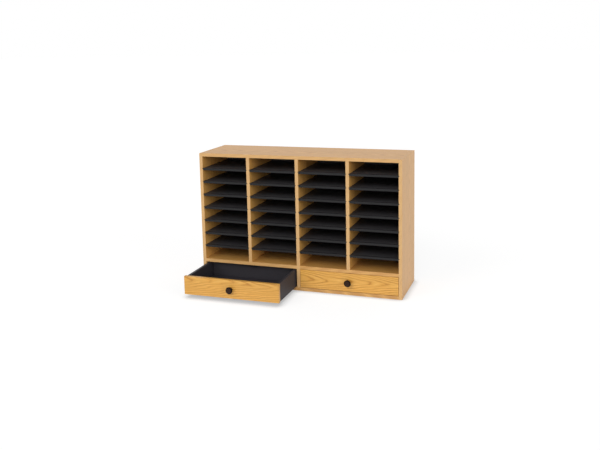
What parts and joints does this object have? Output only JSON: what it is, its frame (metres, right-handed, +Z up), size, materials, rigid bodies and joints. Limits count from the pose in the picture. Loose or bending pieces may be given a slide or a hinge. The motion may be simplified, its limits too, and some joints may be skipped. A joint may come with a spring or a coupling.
{
  "type": "pigeonhole mail sorter",
  "caption": "Free-standing oak laminate mail sorter: columns of letter-size pigeonholes with lift-out black shelves over drawers with round knobs.",
  "frame": {"origin": "on the floor, under the middle of the cabinet (its bottom panel's underside), with the open drawer left out of the middle", "axes": "+X to the right along the front, -Y out of the open front, +Z up"},
  "size_m": [0.997, 0.563, 0.648],
  "materials": {
    "oak_laminate": "satin medium oak laminate on particle board",
    "drawer_oak": "satin medium oak laminate with cathedral grain",
    "black_hardboard": "black painted hardboard",
    "shelf_black": "black hardboard with a black plastic front moulding",
    "charcoal_laminate": "matte charcoal foil on particle board",
    "black_plastic": "matte black moulded plastic",
    "dark_knob": "dark brown-black satin moulded plastic",
    "beech": "fluted beech dowel",
    "zinc_steel": "bright zinc plated"
  },
  "bodies": {
    "cabinet": {"side_panel_left": "oak_laminate", "side_panel_right": "oak_laminate", "top_panel": "oak_laminate", "bottom_panel": "oak_laminate", "fixed_shelf_left": "oak_laminate", "fixed_shelf_right": "oak_laminate", "divider_left": "oak_laminate", "divider_center": "oak_laminate", "divider_right": "oak_laminate", "back_panel": "black_hardboard", "dowels": "beech", "cam_bolts": "zinc_steel", "cam_locks": "zinc_steel", "back_nails": "zinc_steel", "drawer_guides": "black_plastic", "drawer_stops": "black_plastic"},
    "drawer_left": {"drawer_left_front": "drawer_oak", "drawer_left_side_left": "charcoal_laminate", "drawer_left_side_right": "charcoal_laminate", "drawer_left_back": "charcoal_laminate", "drawer_left_bottom": "black_hardboard", "drawer_left_knob": "dark_knob", "drawer_left_knob_screw": "zinc_steel", "drawer_left_screws": "zinc_steel"},
    "drawer_right": {"drawer_right_front": "drawer_oak", "drawer_right_side_left": "charcoal_laminate", "drawer_right_side_right": "charcoal_laminate", "drawer_right_back": "charcoal_laminate", "drawer_right_bottom": "black_hardboard", "drawer_right_knob": "dark_knob", "drawer_right_knob_screw": "zinc_steel", "drawer_right_screws": "zinc_steel"},
    "shelf_1_1": {"shelf_1_1": "shelf_black"},
    "shelf_1_2": {"shelf_1_2": "shelf_black"},
    "shelf_1_3": {"shelf_1_3": "shelf_black"},
    "shelf_1_4": {"shelf_1_4": "shelf_black"},
    "shelf_1_5": {"shelf_1_5": "shelf_black"},
    "shelf_1_6": {"shelf_1_6": "shelf_black"},
    "shelf_1_7": {"shelf_1_7": "shelf_black"},
    "shelf_2_1": {"shelf_2_1": "shelf_black"},
    "shelf_2_2": {"shelf_2_2": "shelf_black"},
    "shelf_2_3": {"shelf_2_3": "shelf_black"},
    "shelf_2_4": {"shelf_2_4": "shelf_black"},
    "shelf_2_5": {"shelf_2_5": "shelf_black"},
    "shelf_2_6": {"shelf_2_6": "shelf_black"},
    "shelf_2_7": {"shelf_2_7": "shelf_black"},
    "shelf_3_1": {"shelf_3_1": "shelf_black"},
    "shelf_3_2": {"shelf_3_2": "shelf_black"},
    "shelf_3_3": {"shelf_3_3": "shelf_black"},
    "shelf_3_4": {"shelf_3_4": "shelf_black"},
    "shelf_3_5": {"shelf_3_5": "shelf_black"},
    "shelf_3_6": {"shelf_3_6": "shelf_black"},
    "shelf_3_7": {"shelf_3_7": "shelf_black"},
    "shelf_4_1": {"shelf_4_1": "shelf_black"},
    "shelf_4_2": {"shelf_4_2": "shelf_black"},
    "shelf_4_3": {"shelf_4_3": "shelf_black"},
    "shelf_4_4": {"shelf_4_4": "shelf_black"},
    "shelf_4_5": {"shelf_4_5": "shelf_black"},
    "shelf_4_6": {"shelf_4_6": "shelf_black"},
    "shelf_4_7": {"shelf_4_7": "shelf_black"}
  },
  "joints": [
    {"name": "drawer_left_slide", "type": "slide", "parent": "cabinet", "child": "drawer_left", "axis": [0, -1, 0], "range_m": [-0.24, 0.0115]},
    {"name": "drawer_right_slide", "type": "slide", "parent": "cabinet", "child": "drawer_right", "axis": [0, -1, 0], "range_m": [0, 0.2515]},
    {"name": "shelf_1_1_slide", "type": "slide", "parent": "cabinet", "child": "shelf_1_1", "axis": [0, -1, 0], "range_m": [0, 0.3]},
    {"name": "shelf_1_2_slide", "type": "slide", "parent": "cabinet", "child": "shelf_1_2", "axis": [0, -1, 0], "range_m": [0, 0.3]},
    {"name": "shelf_1_3_slide", "type": "slide", "parent": "cabinet", "child": "shelf_1_3", "axis": [0, -1, 0], "range_m": [0, 0.3]},
    {"name": "shelf_1_4_slide", "type": "slide", "parent": "cabinet", "child": "shelf_1_4", "axis": [0, -1, 0], "range_m": [0, 0.3]},
    {"name": "shelf_1_5_slide", "type": "slide", "parent": "cabinet", "child": "shelf_1_5", "axis": [0, -1, 0], "range_m": [0, 0.3]},
    {"name": "shelf_1_6_slide", "type": "slide", "parent": "cabinet", "child": "shelf_1_6", "axis": [0, -1, 0], "range_m": [0, 0.3]},
    {"name": "shelf_1_7_slide", "type": "slide", "parent": "cabinet", "child": "shelf_1_7", "axis": [0, -1, 0], "range_m": [0, 0.3]},
    {"name": "shelf_2_1_slide", "type": "slide", "parent": "cabinet", "child": "shelf_2_1", "axis": [0, -1, 0], "range_m": [0, 0.3]},
    {"name": "shelf_2_2_slide", "type": "slide", "parent": "cabinet", "child": "shelf_2_2", "axis": [0, -1, 0], "range_m": [0, 0.3]},
    {"name": "shelf_2_3_slide", "type": "slide", "parent": "cabinet", "child": "shelf_2_3", "axis": [0, -1, 0], "range_m": [0, 0.3]},
    {"name": "shelf_2_4_slide", "type": "slide", "parent": "cabinet", "child": "shelf_2_4", "axis": [0, -1, 0], "range_m": [0, 0.3]},
    {"name": "shelf_2_5_slide", "type": "slide", "parent": "cabinet", "child": "shelf_2_5", "axis": [0, -1, 0], "range_m": [0, 0.3]},
    {"name": "shelf_2_6_slide", "type": "slide", "parent": "cabinet", "child": "shelf_2_6", "axis": [0, -1, 0], "range_m": [0, 0.3]},
    {"name": "shelf_2_7_slide", "type": "slide", "parent": "cabinet", "child": "shelf_2_7", "axis": [0, -1, 0], "range_m": [0, 0.3]},
    {"name": "shelf_3_1_slide", "type": "slide", "parent": "cabinet", "child": "shelf_3_1", "axis": [0, -1, 0], "range_m": [0, 0.3]},
    {"name": "shelf_3_2_slide", "type": "slide", "parent": "cabinet", "child": "shelf_3_2", "axis": [0, -1, 0], "range_m": [0, 0.3]},
    {"name": "shelf_3_3_slide", "type": "slide", "parent": "cabinet", "child": "shelf_3_3", "axis": [0, -1, 0], "range_m": [0, 0.3]},
    {"name": "shelf_3_4_slide", "type": "slide", "parent": "cabinet", "child": "shelf_3_4", "axis": [0, -1, 0], "range_m": [0, 0.3]},
    {"name": "shelf_3_5_slide", "type": "slide", "parent": "cabinet", "child": "shelf_3_5", "axis": [0, -1, 0], "range_m": [0, 0.3]},
    {"name": "shelf_3_6_slide", "type": "slide", "parent": "cabinet", "child": "shelf_3_6", "axis": [0, -1, 0], "range_m": [0, 0.3]},
    {"name": "shelf_3_7_slide", "type": "slide", "parent": "cabinet", "child": "shelf_3_7", "axis": [0, -1, 0], "range_m": [0, 0.3]},
    {"name": "shelf_4_1_slide", "type": "slide", "parent": "cabinet", "child": "shelf_4_1", "axis": [0, -1, 0], "range_m": [0, 0.3]},
    {"name": "shelf_4_2_slide", "type": "slide", "parent": "cabinet", "child": "shelf_4_2", "axis": [0, -1, 0], "range_m": [0, 0.3]},
    {"name": "shelf_4_3_slide", "type": "slide", "parent": "cabinet", "child": "shelf_4_3", "axis": [0, -1, 0], "range_m": [0, 0.3]},
    {"name": "shelf_4_4_slide", "type": "slide", "parent": "cabinet", "child": "shelf_4_4", "axis": [0, -1, 0], "range_m": [0, 0.3]},
    {"name": "shelf_4_5_slide", "type": "slide", "parent": "cabinet", "child": "shelf_4_5", "axis": [0, -1, 0], "range_m": [0, 0.3]},
    {"name": "shelf_4_6_slide", "type": "slide", "parent": "cabinet", "child": "shelf_4_6", "axis": [0, -1, 0], "range_m": [0, 0.3]},
    {"name": "shelf_4_7_slide", "type": "slide", "parent": "cabinet", "child": "shelf_4_7", "axis": [0, -1, 0], "range_m": [0, 0.3]}
  ]
}
